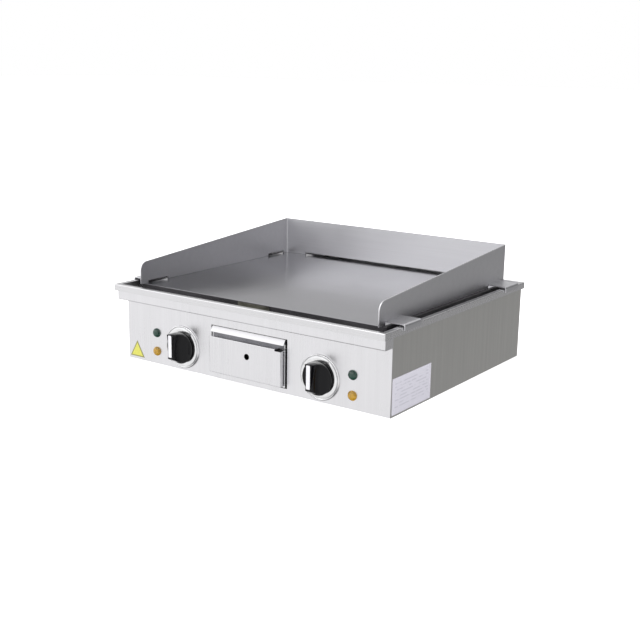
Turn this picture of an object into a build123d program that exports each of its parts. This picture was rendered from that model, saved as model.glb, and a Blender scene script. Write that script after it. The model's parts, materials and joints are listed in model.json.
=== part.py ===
"""Table-top electric griddle: flat plate, lift-off splash guard, grease drawer, two heat zones.

Millimetres, +Z up, X to the right seen from the front, controls on the -Y side.
The origin is under the middle of the griddle, on the surface that it stands on.
"""
import math
import os
from build123d import *

# ---- driving dimensions ----
SHEET = 1.2                 # stainless sheet of the casing and frame
BODY_W = 540.0              # casing, left to right
BODY_D = 440.0              # casing, control panel to back wall
KNOB_REACH = 32.5           # knob grip, in front of the control panel
GLAND_REACH = 24.5          # cable gland, behind the back wall
RIM_Z = 136.0               # top of the frame's rim
LIP_H = 11.0                # downturned edge of the rim
OVER_FRONT = 28.5           # rim beyond the control panel
OVER_SIDE = 4.0             # rim beyond each casing side
OVER_BACK = 3.0             # rim beyond the back wall
BAND_PROUD = 22.0           # front band, in front of the control panel
BAND_Z = 108.5              # underside of the front band
STRIP_W = 8.0               # width of the rim's top strip at the sides and back
FLOOR_Z = 126.0             # floor of the channel round the plate
PLATE_W = 500.0
PLATE_T = 8.0
PLATE_FRONT = 13.5          # plate's front edge, behind the control panel
PLATE_BACK = 428.0
GUARD_T = 2.0
GUARD_W = 486.0             # over the outside of the side walls
GUARD_FRONT = 4.5
GUARD_BACK = 423.0
GUARD_TOP_FRONT = 171.5
GUARD_TOP_BACK = 203.0
TAB_Z = 138.6               # underside of the guard's hook tabs
TAB_DROP = 131.0            # lower end of the hooks
TAB_W = 48.0
TAB_STARTS = (23.0, 361.0)  # front ends of the two side tabs, behind the control panel
BACK_TAB_W = 386.0
HOOK_GAP = 0.7              # hook to rim lip
DRAWER_W = 149.6            # front plate of the grease drawer
DRAWER_Z = (10.0, 88.6)
DRAWER_GAP = 3.4            # beside the front plate, in the panel's opening
DRAWER_GAP_LOW = 1.5
DRAWER_GAP_TOP = 0.7
TRAY_W = 144.0
TRAY_Z = (14.0, 74.0)
TRAY_LEN = 240.0
KNOB_X = 142.0
KNOB_Z = 40.4
KNOB_R = 26.3
BEZEL_R = 37.0
SHAFT_R = 3.0
SHAFT_CLEARANCE = 0.05      # running fit of the shaft in the thermostat
LAMP_X = 202.0
LAMP_DZ = {"green": 14.7, "amber": -18.0}   # from the knob's height
LENS_R = 8.0
ELEMENT_R = 4.25
ELEMENT_PITCH = 36.0
ELEMENT_LEGS = 6
ELEMENT_INNER_X = 30.0      # first leg, from the centre line

# ---- derived places ----
PANEL_Y = -(BODY_D + GLAND_REACH - KNOB_REACH) / 2
BACK_Y = PANEL_Y + BODY_D
HALF_W = BODY_W / 2
RIM_X = HALF_W + OVER_SIDE
RIM_FRONT = PANEL_Y - OVER_FRONT
RIM_BACK = BACK_Y + OVER_BACK
WELL_X = RIM_X - STRIP_W
WELL_FRONT = PANEL_Y - BAND_PROUD + SHEET
WELL_BACK = RIM_BACK - STRIP_W + 1.0
STRIP_Z = RIM_Z - SHEET
FLOOR_UNDER = FLOOR_Z - SHEET
PLATE_Z = FLOOR_Z + PLATE_T
PLATE_X = PLATE_W / 2
GUARD_X = GUARD_W / 2
GUARD_Z = PLATE_Z + 0.2
SIDES = {"left": -1, "right": 1}


def block(x0, x1, y0, y1, z0, z1):
    """A box between three pairs of limits, in any order."""
    size = (abs(x1 - x0), abs(y1 - y0), abs(z1 - z0))
    return Pos((x0 + x1) / 2, (y0 + y1) / 2, (z0 + z1) / 2) * Box(*size)


def mid_block(half_x, y0, y1, z0, z1):
    """A box centred on the object's middle plane."""
    return block(-half_x, half_x, y0, y1, z0, z1)


def rod_y(x, z, r, y0, y1):
    return Pos(x, (y0 + y1) / 2, z) * Rot(90, 0, 0) * Cylinder(r, abs(y1 - y0))


def rod_z(x, y, r, z0, z1):
    return Pos(x, y, (z0 + z1) / 2) * Cylinder(r, abs(z1 - z0))


def hex_nut(x, y, z0, z1, across, bore):
    """A hexagon nut standing along Z."""
    body = extrude(RegularPolygon(across / math.sqrt(3), 6), z1 - z0)
    return Pos(x, y, z0) * body - rod_z(x, y, bore, z0 - 1, z1 + 1)


def group(solids):
    """Separate solids as one node."""
    return Compound(children=list(solids))


def along_x(outline, half_x):
    """A prism across the object's width from an outline of (y, z) points."""
    face = make_face(Plane.YZ * Polyline(*outline, close=True))
    return Pos(-half_x, 0, 0) * extrude(face, 2 * half_x)


def edges_at(shape, axis, **limits):
    """Edges parallel to an axis whose centres lie within the given x, y or z limits."""
    found = shape.edges().filter_by(axis)
    for name, (low, high) in limits.items():
        found = found.filter_by(lambda e, n=name, a=low, b=high: a <= getattr(e.center(), n) <= b)
    return found


def save(name, shape):
    export_step(shape, f"parts/{name}.step")
    print(name, round(shape.volume))


# ---- chassis: sheet metal ----
BASE_FLANGE = 14.0
SCREW_XS = (-225.0, -75.0, 75.0, 225.0)
SCREW_R = 1.9
HEAD_R = 3.8
HEAD_H = 1.9


def base_screw_places():
    """Sunk screws through the base, along the two sides and the back."""
    edge = HALF_W - BASE_FLANGE / 2
    ys = [PANEL_Y + 60 + 105 * i for i in range(4)]
    sides = [(s * edge, y) for s in (-1, 1) for y in ys]
    back = [(x, BACK_Y - BASE_FLANGE / 2) for x in SCREW_XS]
    front = [(x, PANEL_Y + 8.5) for x in (-215.0, 215.0)]
    return sides + back + front


def base_screws():
    """Countersunk screws, flush with the underside."""
    solids = []
    for x, y in base_screw_places():
        head = Pos(x, y, HEAD_H / 2) * Cone(HEAD_R, SCREW_R, HEAD_H)
        solids.append(head + rod_z(x, y, SCREW_R, 0, 8))
    return solids


GLAND_X = 190.0
GLAND_Z = 36.0
GLAND_THREAD_R = 10.0
CABLE_R = 5.5
STUD_X = 140.0
STUD_Z = 24.0
STUD_R = 3.0                # free end
STUD_SHANK_R = 3.5          # through the wall and the nuts
STUD_REACH = 16.0


SEAM_X = HALF_W - 16         # upright seams in the back wall


def outer_wrap():
    """Left side, back and right side as one bend, with an inward flange at the bottom."""
    y0 = PANEL_Y + SHEET
    outer = mid_block(HALF_W, y0, BACK_Y, 0, STRIP_Z)
    outer = fillet(edges_at(outer, Axis.Z, Y=(BACK_Y - 1, BACK_Y + 1)), 3.0)
    inner = mid_block(HALF_W - SHEET, y0 - 1, BACK_Y - SHEET, SHEET, STRIP_Z + 1)
    inner = fillet(edges_at(inner, Axis.Z, Y=(BACK_Y - 2, BACK_Y)), 1.8)
    shell = outer - inner
    shell -= mid_block(HALF_W - BASE_FLANGE, y0 - 1, BACK_Y - BASE_FLANGE, -1, SHEET + 1)
    shell -= rod_y(GLAND_X, GLAND_Z, GLAND_THREAD_R, BACK_Y - 5, BACK_Y + 5)
    shell -= rod_y(STUD_X, STUD_Z, STUD_SHANK_R, BACK_Y - 5, BACK_Y + 5)
    for row in range(4):
        z = 62 + row * 11
        for i in range(7):
            x = -198 + i * 66
            shell -= block(x - 24, x + 24, BACK_Y - 5, BACK_Y + 5, z, z + 4)
    for x, y in base_screw_places():
        shell -= Pos(x, y, HEAD_H / 2) * Cone(HEAD_R, SCREW_R, HEAD_H)
        shell -= rod_z(x, y, SCREW_R, -1, 5)
    return shell


def casing():
    """Two side panels, bent round the rear corners as far as the seams."""
    return outer_wrap() - mid_block(SEAM_X, PANEL_Y - 5, BACK_Y + 5, -5, RIM_Z)


def back_panel():
    """Back wall between the seams, with louvres and holes for the gland and stud."""
    return outer_wrap() & mid_block(SEAM_X, PANEL_Y - 5, BACK_Y + 5, -5, RIM_Z)


def base_plate():
    """Bottom sheet, lying on the casing's and the panel's flanges."""
    plate = mid_block(HALF_W - 4, PANEL_Y + 3, BACK_Y - 4, SHEET, 2 * SHEET)
    for side in (-1, 1):
        for i in range(6):
            y = PANEL_Y + 130 + i * 30
            plate -= block(side * 120, side * 210, y, y + 8, 0, 5)
    for x, y in base_screw_places():
        plate -= Pos(x, y, HEAD_H / 2) * Cone(HEAD_R, SCREW_R, HEAD_H)
        plate -= rod_z(x, y, SCREW_R, -1, 5)
    return plate


BUSH_R = 5.0
LAMP_HOLE_R = 6.0
THERMO_SCREW_DX = 14.0
CHUTE_X = 32.0


def lamp_places():
    for side in (-1, 1):
        for dz in LAMP_DZ.values():
            yield side * LAMP_X, KNOB_Z + dz


def control_panel():
    """Front panel with a bottom and a top return, open for the drawer, shafts and lamps."""
    plate = mid_block(HALF_W, PANEL_Y, PANEL_Y + SHEET, 0, BAND_Z)
    plate = fillet(edges_at(plate, Axis.Z, Y=(PANEL_Y - 1, PANEL_Y + 0.1)), 0.8)
    plate += mid_block(HALF_W - BASE_FLANGE - 1, PANEL_Y + SHEET, PANEL_Y + 14, 0, SHEET)
    plate += mid_block(HALF_W - 4, PANEL_Y + SHEET, PANEL_Y + 12, BAND_Z - SHEET, BAND_Z)
    plate -= mid_block(CHUTE_X + 1, PANEL_Y + SHEET, PANEL_Y + 20, BAND_Z - 5, BAND_Z + 5)
    half = DRAWER_W / 2 + DRAWER_GAP
    low = DRAWER_Z[0] - DRAWER_GAP_LOW
    high = DRAWER_Z[1] + DRAWER_GAP_TOP
    plate -= mid_block(half, PANEL_Y - 5, PANEL_Y + 5, low, high)
    for side in (-1, 1):
        plate -= rod_y(side * KNOB_X, KNOB_Z, BUSH_R, PANEL_Y - 5, PANEL_Y + 5)
        for dx in (-THERMO_SCREW_DX, THERMO_SCREW_DX):
            plate -= rod_y(side * KNOB_X + dx, KNOB_Z, SCREW_R, PANEL_Y - 5, PANEL_Y + 5)
    for x, z in lamp_places():
        plate -= rod_y(x, z, LAMP_HOLE_R, PANEL_Y - 5, PANEL_Y + 5)
    for x, y in base_screw_places():
        plate -= Pos(x, y, HEAD_H / 2) * Cone(HEAD_R, SCREW_R, HEAD_H)
        plate -= rod_z(x, y, SCREW_R, -1, 5)
    return plate


def front_band():
    """Band in front of the gutter, between the rim and the control panel."""
    half = HALF_W + 1
    y0 = PANEL_Y - BAND_PROUD
    box = mid_block(half, y0, PANEL_Y, BAND_Z, STRIP_Z)
    box = fillet(edges_at(box, Axis.X, Z=(BAND_Z - 1, BAND_Z + 1), Y=(y0 - 1, y0 + 1)), 1.6)
    box -= mid_block(half - SHEET, y0 + SHEET, PANEL_Y + 1, BAND_Z + SHEET, STRIP_Z + 1)
    box -= block(-half - 1, -WELL_X + 1, y0 + SHEET, PANEL_Y + 1, RIM_Z - LIP_H + 1, RIM_Z)
    box -= block(half + 1, WELL_X - 1, y0 + SHEET, PANEL_Y + 1, RIM_Z - LIP_H + 1, RIM_Z)
    box += mid_block(HALF_W - 4, PANEL_Y - 1, PANEL_Y + 12, BAND_Z, BAND_Z + SHEET)
    return box - mid_block(CHUTE_X + 1, PANEL_Y + SHEET, PANEL_Y + 20, BAND_Z - 1, BAND_Z + 5)


STUD_HOLE_R = 3.3
HOLD_X = 245.0
HOLD_YS = (60.0, 215.0, 370.0)
CUTOUT_X = 238.0
CUTOUT_Y = (26.0, 416.0)
TROUGH_BACK = 12.5


def hold_places():
    """Studs that hold the griddle plate down, at its left and right edges."""
    return [(s * HOLD_X, PANEL_Y + d) for s in (-1, 1) for d in HOLD_YS]


def top_frame():
    """Rim with a downturned lip, the channel round the plate, and the floor under its edge."""
    rim = mid_block(RIM_X, RIM_FRONT, RIM_BACK, RIM_Z - LIP_H, RIM_Z)
    rim = fillet(edges_at(rim, Axis.Z), 2.0)
    rim = fillet(rim.faces().sort_by(Axis.Z)[-1].edges(), 1.5)
    hollow = mid_block(RIM_X - SHEET, RIM_FRONT + SHEET, RIM_BACK - SHEET, 0, STRIP_Z)
    rim -= fillet(edges_at(hollow, Axis.Z), 0.8)
    rim -= mid_block(WELL_X, WELL_FRONT, WELL_BACK, 0, RIM_Z + 1)
    wall = mid_block(WELL_X, WELL_FRONT, WELL_BACK, FLOOR_UNDER, STRIP_Z)
    wall -= mid_block(WELL_X - SHEET, WELL_FRONT - 1, WELL_BACK - SHEET, 0, RIM_Z + 1)
    edge = mid_block(WELL_X, WELL_FRONT, WELL_BACK, STRIP_Z - 0.6, RIM_Z)
    edge -= mid_block(WELL_X - SHEET, WELL_FRONT - 1, WELL_BACK - SHEET, 0, RIM_Z + 1)
    edge = fillet(edge.faces().sort_by(Axis.Z)[-1].edges().filter_by(
        lambda e: abs(e.center().X) < WELL_X - 0.5 and e.center().Y < WELL_BACK - 0.5
        and e.center().Y > WELL_FRONT + 5), 0.9)
    floor = mid_block(WELL_X, PANEL_Y + TROUGH_BACK - SHEET, WELL_BACK, FLOOR_UNDER, FLOOR_Z)
    floor -= mid_block(CUTOUT_X, PANEL_Y + CUTOUT_Y[0], PANEL_Y + CUTOUT_Y[1], 0, RIM_Z)
    frame = rim + wall + edge + floor
    for x, y in hold_places():
        frame -= rod_z(x, y, STUD_HOLE_R, FLOOR_UNDER - 1, FLOOR_Z + 1)
    return frame


def griddle_plate():
    plate = mid_block(PLATE_X, PANEL_Y + PLATE_FRONT, PANEL_Y + PLATE_BACK, FLOOR_Z, PLATE_Z)
    plate = fillet(edges_at(plate, Axis.Z), 4.0)
    return fillet(plate.faces().sort_by(Axis.Z)[-1].edges(), 1.2)


def hold_down_studs():
    return [rod_z(x, y, 3.0, 114, FLOOR_Z) for x, y in hold_places()]


def hold_down_nuts():
    return [hex_nut(x, y, FLOOR_UNDER - 5, FLOOR_UNDER, 10, 3.0) for x, y in hold_places()]


TROUGH_X = WELL_X - SHEET - 0.2
TROUGH_END_Z = 120.0
TROUGH_MID_Z = 113.0
HOLE_X = CHUTE_X - SHEET
CHUTE_Y = (3.5, 9.9)


def slope(half_x, mid_x, drop, y0, y1):
    """A prism whose underside falls from both ends to the drain in the middle."""
    top = FLOOR_UNDER
    points = [(-half_x, top), (half_x, top), (half_x, TROUGH_END_Z - drop)]
    points += [(mid_x, TROUGH_MID_Z - drop), (-mid_x, TROUGH_MID_Z - drop)]
    points += [(-half_x, TROUGH_END_Z - drop)]
    face = make_face(Polyline(*points, close=True))
    return Pos(0, y1, 0) * extrude(Rot(90, 0, 0) * face, y1 - y0)


def grease_gutter():
    """Trough along the front of the plate, falling to the drain."""
    front = WELL_FRONT
    back = PANEL_Y + TROUGH_BACK
    trough = slope(TROUGH_X, 34, SHEET, front, back)
    trough += mid_block(TROUGH_X, front, front + 1.0, FLOOR_UNDER - 2, STRIP_Z)
    inner = slope(TROUGH_X - SHEET, 34, 0, front + 1.0, back - SHEET)
    trough -= inner + Pos(0, 0, 4) * inner
    trough -= mid_block(HOLE_X, PANEL_Y + CHUTE_Y[0], PANEL_Y + CHUTE_Y[1], 100, 120)
    return trough


def drain_chute():
    """Flat tube from the gutter down to the drawer."""
    y0 = PANEL_Y + CHUTE_Y[0]
    y1 = PANEL_Y + CHUTE_Y[1]
    top = TROUGH_MID_Z - SHEET
    tube = mid_block(CHUTE_X, y0 - SHEET, y1 + SHEET, 90, top)
    return tube - mid_block(HOLE_X, y0, y1, 80, top + 1)


def drain_lip():
    """Bright lip that stands against the plate's front edge over the drain."""
    y_up = PANEL_Y + PLATE_FRONT - SHEET
    y_down = PANEL_Y + TROUGH_BACK - 2 * SHEET
    lip = mid_block(CHUTE_X, y_up, y_up + SHEET, FLOOR_Z, PLATE_Z - 1.5)
    lip += mid_block(CHUTE_X, y_down, y_up + SHEET, FLOOR_Z, FLOOR_Z + SHEET)
    lip += mid_block(CHUTE_X, y_down, y_down + SHEET, TROUGH_MID_Z + 0.1, FLOOR_Z + SHEET)
    return lip


def support_angle(side):
    """Angle on the casing's side that carries the frame's floor."""
    out = HALF_W - SHEET
    y0 = PANEL_Y + 16
    y1 = BACK_Y - 12
    angle = block(side * (out - SHEET), side * out, y0, y1, 108, FLOOR_UNDER)
    return angle + block(side * 252.5, side * out, y0, y1, FLOOR_UNDER - SHEET, FLOOR_UNDER)


# ---- splash guard ----
GUARD_CORNER_R = 15.0
BEND_R = 2.0                # inside of the hooks' bends


def hook_tab():
    """A side tab at y = 0, reaching out from the right wall, over the rim and down."""
    outer = RIM_X + HOOK_GAP + GUARD_T
    tab = block(GUARD_X - GUARD_T, outer, 0, TAB_W, TAB_Z, TAB_Z + GUARD_T)
    tab += block(outer - GUARD_T, outer, 0, TAB_W, TAB_DROP, TAB_Z + GUARD_T)
    bend = edges_at(tab, Axis.Y, X=(outer - 0.1, outer + 0.1), Z=(TAB_Z + 1, TAB_Z + 2))
    tab = fillet(bend, BEND_R + GUARD_T)
    inside = outer - GUARD_T
    inner_bend = edges_at(tab, Axis.Y, X=(inside - 0.1, inside + 0.1), Z=(TAB_Z - 1, TAB_Z + 1))
    return fillet(inner_bend, BEND_R)


def splash_guard():
    """Three-sided sheet with hooks over the rim; the side walls fall towards the front."""
    y0 = PANEL_Y + GUARD_FRONT
    y1 = PANEL_Y + GUARD_BACK
    outer = mid_block(GUARD_X, y0, y1, GUARD_Z, GUARD_TOP_BACK)
    outer = fillet(edges_at(outer, Axis.Z, Y=(y1 - 1, y1 + 1)), 4.0)
    inner = mid_block(GUARD_X - GUARD_T, y0 - 1, y1 - GUARD_T, 0, GUARD_TOP_BACK + 1)
    inner = fillet(edges_at(inner, Axis.Z, Y=(y1 - 2, y1)), 2.5)
    guard = outer - inner
    top = [(y0, GUARD_TOP_FRONT), (y1 - 4, GUARD_TOP_BACK), (y1 - 4, 300), (y0 - 50, 300),
           (y0 - 50, GUARD_TOP_FRONT)]
    guard -= along_x(top, HALF_W)
    front = edges_at(guard, Axis.X, Y=(y0 - 1, y0 + 1), Z=(GUARD_TOP_FRONT - 2, 300))
    guard = fillet(front, GUARD_CORNER_R)
    for start in TAB_STARTS:
        a = PANEL_Y + start
        guard -= mid_block(HALF_W, a - 1, a + TAB_W + 1, 0, TAB_Z + GUARD_T)
    half = BACK_TAB_W / 2
    guard -= mid_block(half + 1, y1 - 10, y1 + 1, 0, TAB_Z + GUARD_T)
    for start in TAB_STARTS:
        tab = Pos(0, PANEL_Y + start, 0) * hook_tab()
        guard += tab + mirror(tab, Plane.YZ)
    end = RIM_BACK + HOOK_GAP + GUARD_T
    back_tab = mid_block(half, y1 - GUARD_T, end, TAB_Z, TAB_Z + GUARD_T)
    back_tab += mid_block(half, end - GUARD_T, end, TAB_DROP, TAB_Z + GUARD_T)
    bend = edges_at(back_tab, Axis.X, Y=(end - 0.1, end + 0.1), Z=(TAB_Z + 1, TAB_Z + 2))
    back_tab = fillet(bend, BEND_R + GUARD_T)
    inside = end - GUARD_T
    inner_bend = edges_at(back_tab, Axis.X, Y=(inside - 0.1, inside + 0.1), Z=(TAB_Z - 1, TAB_Z + 1))
    return guard + fillet(inner_bend, BEND_R)


# ---- grease drawer ----
PLATE_PROUD = 0.8           # drawer's front plate, in front of the control panel
FACE_PROUD = 12.0           # drawer's face box
HOOD_PROUD = 6.2            # hood over the finger gap
HOOD_TIP_Z = 79.8
HOOD_ROOT = 2.6             # hood's upright thickness where it leaves the plate
FACE_W = 148.0
FACE_Z = (13.0, 73.5)
FACE_HOLE = (5.75, 51.1)
FACE_HOLE_R = 5.2
NOTCH_X = 62.0              # notch in the face box's top right corner, from here outwards
NOTCH_DEPTH = 3.0


def drawer_front():
    """Front plate whose upper edge folds forward and down as a hood to pull by."""
    front = PANEL_Y - PLATE_PROUD
    back = front + SHEET
    tip = PANEL_Y - HOOD_PROUD
    z0, z1 = DRAWER_Z
    outline = [(back, z0), (back, z1), (front, z1), (tip, HOOD_TIP_Z)]
    outline += [(tip + 0.9 * SHEET, HOOD_TIP_Z - SHEET / 2), (front, z1 - HOOD_ROOT), (front, z0)]
    return along_x(outline, DRAWER_W / 2)


def drawer_face():
    """Shallow folded pan, its open side against the front plate, with one notched corner."""
    half = FACE_W / 2
    y0 = PANEL_Y - FACE_PROUD
    y1 = PANEL_Y - PLATE_PROUD
    z0, z1 = FACE_Z
    box = mid_block(half, y0, y1, z0, z1)
    box = fillet(edges_at(box, Axis.Z, Y=(y0 - 0.1, y0 + 0.1)), 1.5)
    box = fillet(edges_at(box, Axis.X, Y=(y0 - 0.1, y0 + 0.1)), 0.8)
    box -= mid_block(half - 1, y0 + 1, y1 + 1, z0 + 1, z1 - 1)
    box -= block(NOTCH_X, half + 1, y0 - 1, y1 + 1, z1 - NOTCH_DEPTH, z1 + 1)
    return box - rod_y(FACE_HOLE[0], FACE_HOLE[1], FACE_HOLE_R, y0 - 1, y0 + 3)


def drawer_tray():
    """Open pan with side flanges that hang on the rails."""
    half = TRAY_W / 2
    y0 = PANEL_Y - PLATE_PROUD + SHEET
    y1 = y0 + TRAY_LEN
    z0, z1 = TRAY_Z
    pan = mid_block(half, y0, y1, z0, z1)
    pan = fillet(edges_at(pan, Axis.Z), 4.0)
    pan = fillet(pan.faces().sort_by(Axis.Z)[0].edges(), 3.0)
    hollow = mid_block(half - 1, y0 + 1, y1 - 1, z0 + 1, z1 + 1)
    hollow = fillet(edges_at(hollow, Axis.Z), 3.0)
    pan -= fillet(hollow.faces().sort_by(Axis.Z)[0].edges(), 2.0)
    flange = mid_block(half + 4.6, y0 + 8, y1 - 6, z1 - 1, z1)
    return pan + (flange - mid_block(half - 0.5, y0, y1, 0, 100))


def drawer_rail(side):
    """Guide on the base: a shelf under the tray's flange and a keeper above it."""
    y0 = PANEL_Y + 6
    y1 = PANEL_Y + TRAY_LEN
    wall = TRAY_W / 2 + 8
    z1 = TRAY_Z[1]
    rail = block(side * wall, side * (wall + SHEET), y0, y1, 2 * SHEET, z1 + 6)
    rail += block(side * (TRAY_W / 2 + 0.8), side * wall, y0, y1, z1 - 1.3 - SHEET, z1 - 1.3)
    rail += block(side * (wall - 5), side * wall, y0, y1, z1 + 0.4, z1 + 0.4 + SHEET)
    rail += block(side * wall, side * (wall + 12), y0, y1, 2 * SHEET, 3 * SHEET)
    return rail


# ---- controls ----
GRIP_W = 9.0                # front of the grip
DRUM_T = 15.0               # front of the knob's round body, from the panel
KNOB_BACK = 1.5
GRIP_LOW = -15.0            # lower end of the grip's front, from the knob's axis
FLANK_T = 21.0              # front of the grip's spread flanks
POINTER_W = 7.0
POINTER_T = 0.6
POINTER_Z = (-12.2, 25.8)   # from the knob's axis


def bezel(x):
    """Raised ring on the panel round the knob, with a rolled outer edge."""
    inner = KNOB_R + 0.7
    profile = [(inner, 0), (BEZEL_R, 0), (BEZEL_R, 1.2), (BEZEL_R - 1.2, 2.6)]
    profile += [(BEZEL_R - 3.5, 4.4), (inner + 2.2, 4.0), (inner, 2.6)]
    ring = revolve(make_face(Plane.XZ * Polyline(*profile, close=True)), Axis.Z)
    return Pos(x, PANEL_Y, KNOB_Z) * Rot(90, 0, 0) * ring


def knob(x):
    """Round body with a pointer-shaped grip that falls away at its lower end."""
    front = KNOB_REACH - POINTER_T
    profile = [(0, KNOB_BACK), (KNOB_R, KNOB_BACK), (KNOB_R, DRUM_T - 1.2), (KNOB_R - 1.2, DRUM_T)]
    profile += [(0, DRUM_T)]
    body = revolve(make_face(Plane.XZ * Polyline(*profile, close=True)), Axis.Z)
    side = [(-KNOB_R, 5), (KNOB_R, 5), (KNOB_R, front), (GRIP_LOW, front), (-KNOB_R, DRUM_T + 1)]
    face = make_face(Plane.YZ * Polyline(*side, close=True))
    grip = Pos(-GRIP_W / 2, 0, 0) * extrude(face, GRIP_W)
    spread = [(-5.5, KNOB_R), (5.5, KNOB_R), (15, -20), (12, -KNOB_R), (-12, -KNOB_R), (-15, -20)]
    face = make_face(Polyline(*spread, close=True))
    flanks = Pos(0, 0, DRUM_T - 1) * extrude(face, FLANK_T - DRUM_T, taper=30)
    body += (grip + flanks) & Pos(0, 0, 20) * Cylinder(KNOB_R - 0.3, 40)
    body -= Cylinder(SHAFT_R, 2 * 16)
    return Pos(x, PANEL_Y, KNOB_Z) * Rot(90, 0, 0) * body


def pointer(x):
    """White strip on the front of the grip."""
    y = PANEL_Y - KNOB_REACH
    half = POINTER_W / 2
    low, high = POINTER_Z
    return block(x - half, x + half, y, y + POINTER_T, KNOB_Z + low, KNOB_Z + high)


def shaft(x):
    return rod_y(x, KNOB_Z, SHAFT_R, PANEL_Y - 16, PANEL_Y + 14)


def thermostat(x):
    """Capillary thermostat on its mounting plate, behind the panel."""
    y = PANEL_Y + SHEET
    body = block(x - 19, x + 19, y, y + 1.5, KNOB_Z - 12, KNOB_Z + 12)
    body += block(x - 17, x + 17, y + 1.5, y + 34, KNOB_Z - 19, KNOB_Z + 19)
    body += rod_y(x, KNOB_Z, BUSH_R - 0.5, PANEL_Y - 1.2, y + 2)
    for i in (-1, 0, 1):
        body += block(x - 3 + i * 10, x + 3 + i * 10, y + 34, y + 42, KNOB_Z - 9, KNOB_Z - 8.2)
    body -= rod_y(x, KNOB_Z, SHAFT_R + SHAFT_CLEARANCE, PANEL_Y - 5, PANEL_Y + 15)
    for dx in (-THERMO_SCREW_DX, THERMO_SCREW_DX):
        body -= rod_y(x + dx, KNOB_Z, SCREW_R, PANEL_Y, y + 6)
    return body


def thermostat_screws():
    """Pan-head screws on the panel, hidden by the knobs."""
    solids = []
    for side in (-1, 1):
        for dx in (-THERMO_SCREW_DX, THERMO_SCREW_DX):
            x = side * KNOB_X + dx
            screw = rod_y(x, KNOB_Z, 3.2, PANEL_Y - 1.1, PANEL_Y)
            solids.append(screw + rod_y(x, KNOB_Z, SCREW_R, PANEL_Y, PANEL_Y + 6))
    return solids


def lens(x, z):
    """Domed lamp lens with facets round its side."""
    dome = extrude(RegularPolygon(LENS_R, 12), 3.0)
    dome += Pos(0, 0, 3.0) * extrude(RegularPolygon(LENS_R - 0.8, 12), 2.6, taper=32)
    return Pos(x, PANEL_Y, z) * Rot(90, 0, 0) * dome


def lamp_holders():
    """Lamp bodies through the panel, each with a nut behind it and two tags."""
    solids = []
    for x, z in lamp_places():
        y = PANEL_Y
        body = rod_y(x, z, LAMP_HOLE_R, y, y + 26)
        body += rod_y(x, z, 8.5, y + SHEET, y + 5)
        for dx in (-3, 3):
            body += block(x + dx - 1, x + dx + 1, y + 26, y + 33, z - 0.4, z + 0.4)
        solids.append(body)
    return solids


# ---- heating ----
ELEMENT_Z = FLOOR_Z - ELEMENT_R - 0.1
ELEMENT_Y = (55.0, 404.0)
TERMINAL_Z = 84.0


def leg_xs(side):
    return [side * (ELEMENT_INNER_X + i * ELEMENT_PITCH) for i in range(ELEMENT_LEGS)]


def heating_element(side):
    """Tubular heater bent to and fro under one half of the plate, with its ends turned down."""
    y_front = PANEL_Y + ELEMENT_Y[0]
    y_back = PANEL_Y + 372
    y_end = PANEL_Y + ELEMENT_Y[1]
    xs = leg_xs(side)
    points = [(xs[0], y_end, TERMINAL_Z), (xs[0], y_end, ELEMENT_Z)]
    for i, x in enumerate(xs):
        near, far = (y_back, y_front) if i % 2 == 0 else (y_front, y_back)
        if i > 0:
            points.append((x, near, ELEMENT_Z))
        if i < ELEMENT_LEGS - 1:
            points.append((x, far, ELEMENT_Z))
    points += [(xs[-1], y_end, ELEMENT_Z), (xs[-1], y_end, TERMINAL_Z)]
    path = FilletPolyline(*points, radius=ELEMENT_PITCH / 2 - 0.1)
    section = Plane(origin=points[0], z_dir=(0, 0, 1)) * Circle(ELEMENT_R)
    return sweep(section, path=path)


def element_terminals():
    """Threaded ends of the heating elements."""
    solids = []
    for side in (-1, 1):
        for x in (leg_xs(side)[0], leg_xs(side)[-1]):
            y = PANEL_Y + ELEMENT_Y[1]
            pin = rod_z(x, y, 2.0, TERMINAL_Z - 12, TERMINAL_Z)
            solids.append(pin + rod_z(x, y, 3.4, TERMINAL_Z - 3, TERMINAL_Z))
    return solids


CLAMP_YS = (110.0, 220.0, 330.0)
CLAMP_Z = ELEMENT_Z - ELEMENT_R


def clamp_stud_xs(side):
    xs = leg_xs(side)
    return [(xs[0] + xs[1]) / 2, (xs[-2] + xs[-1]) / 2]


def clamp_bars(side):
    """Flat bars that press the element against the plate."""
    x0 = side * (ELEMENT_INNER_X - 8)
    x1 = side * (ELEMENT_INNER_X + (ELEMENT_LEGS - 1) * ELEMENT_PITCH + 8)
    solids = []
    for d in CLAMP_YS:
        y = PANEL_Y + d
        bar = block(x0, x1, y - 9, y + 9, CLAMP_Z - 3, CLAMP_Z)
        for x in clamp_stud_xs(side):
            bar -= rod_z(x, y, STUD_HOLE_R, CLAMP_Z - 10, CLAMP_Z + 10)
        solids.append(bar)
    return solids


def clamp_places():
    return [(x, PANEL_Y + d) for s in (-1, 1) for x in clamp_stud_xs(s) for d in CLAMP_YS]


def clamp_studs():
    return [rod_z(x, y, 3.0, 106, FLOOR_Z) for x, y in clamp_places()]


def clamp_nuts():
    return [hex_nut(x, y, CLAMP_Z - 8, CLAMP_Z - 3, 10, 3.0) for x, y in clamp_places()]


SHIELD_Z = 91.5


def heat_shield():
    """Shallow tray under the heating zone that carries the insulation."""
    y0 = PANEL_Y + 32
    y1 = PANEL_Y + 388
    tray = mid_block(250, y0, y1, SHIELD_Z, SHIELD_Z + 14)
    tray -= mid_block(250 - 0.8, y0 + 0.8, y1 - 0.8, SHIELD_Z + 0.8, SHIELD_Z + 20)
    for side in (-1, 1):
        tray += block(side * 250, side * (HALF_W - SHEET), y0, y1, SHIELD_Z, SHIELD_Z + 0.8)
    return tray


def insulation():
    """Mineral wool slab."""
    return mid_block(249, PANEL_Y + 33, PANEL_Y + 387, SHIELD_Z + 0.8, SHIELD_Z + 12.8)


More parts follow.
